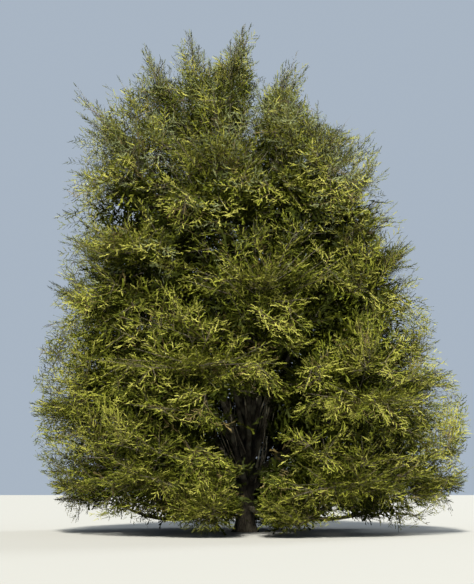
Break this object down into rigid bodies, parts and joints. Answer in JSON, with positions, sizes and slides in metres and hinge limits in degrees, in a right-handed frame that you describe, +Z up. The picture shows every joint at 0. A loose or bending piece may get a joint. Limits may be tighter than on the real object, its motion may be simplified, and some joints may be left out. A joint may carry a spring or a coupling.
{
  "type": "many-topped cedar tree",
  "caption": "Broad evergreen cedar with a short dark foot, a fan of steep stems, layered yellow-green foliage sweeping to the ground and several leaning tops",
  "frame": {"origin": "centre of the flat cut under the trunk, at ground level", "axes": "+Z straight up, +X to the right as the picture shows the tree, +Y away from its viewer"},
  "size_m": [15.2, 14.7444, 18.4993],
  "materials": {
    "bark": "rough, ridged, dark grey-brown bark",
    "foliage": "matt yellow-green needles in sprays"
  },
  "bodies": {
    "root": {"trunk": "bark", "skirt_bough_1": "bark", "skirt_bough_2": "bark", "skirt_bough_3": "bark", "skirt_bough_4": "bark", "skirt_bough_5": "bark", "skirt_bough_6": "bark", "skirt_bough_7": "bark", "lower_bough_1": "bark", "lower_bough_2": "bark", "lower_bough_3": "bark", "lower_bough_4": "bark", "lower_bough_5": "bark", "lower_bough_6": "bark", "middle_bough_1": "bark", "middle_bough_2": "bark", "middle_bough_3": "bark", "middle_bough_4": "bark", "middle_bough_5": "bark", "middle_bough_6": "bark", "upper_bough_1": "bark", "upper_bough_2": "bark", "upper_bough_3": "bark", "upper_bough_4": "bark", "upper_bough_5": "bark", "upper_bough_6": "bark", "left_leader": "bark", "outer_leader": "bark", "front_leader": "bark", "right_leader": "bark", "skirt_foliage_1": "foliage", "skirt_foliage_2": "foliage", "skirt_foliage_3": "foliage", "skirt_foliage_4": "foliage", "skirt_foliage_5": "foliage", "skirt_foliage_6": "foliage", "skirt_foliage_7": "foliage", "lower_foliage_1": "foliage", "lower_foliage_2": "foliage", "lower_foliage_3": "foliage", "lower_foliage_4": "foliage", "lower_foliage_5": "foliage", "lower_foliage_6": "foliage", "middle_foliage_1": "foliage", "middle_foliage_2": "foliage", "middle_foliage_3": "foliage", "middle_foliage_4": "foliage", "middle_foliage_5": "foliage", "middle_foliage_6": "foliage", "upper_foliage_1": "foliage", "upper_foliage_2": "foliage", "upper_foliage_3": "foliage", "upper_foliage_4": "foliage", "upper_foliage_5": "foliage", "upper_foliage_6": "foliage", "left_leader_foliage": "foliage", "outer_leader_foliage": "foliage", "front_leader_foliage": "foliage", "right_leader_foliage": "foliage", "crown_top_foliage": "foliage"}
  },
  "joints": []
}
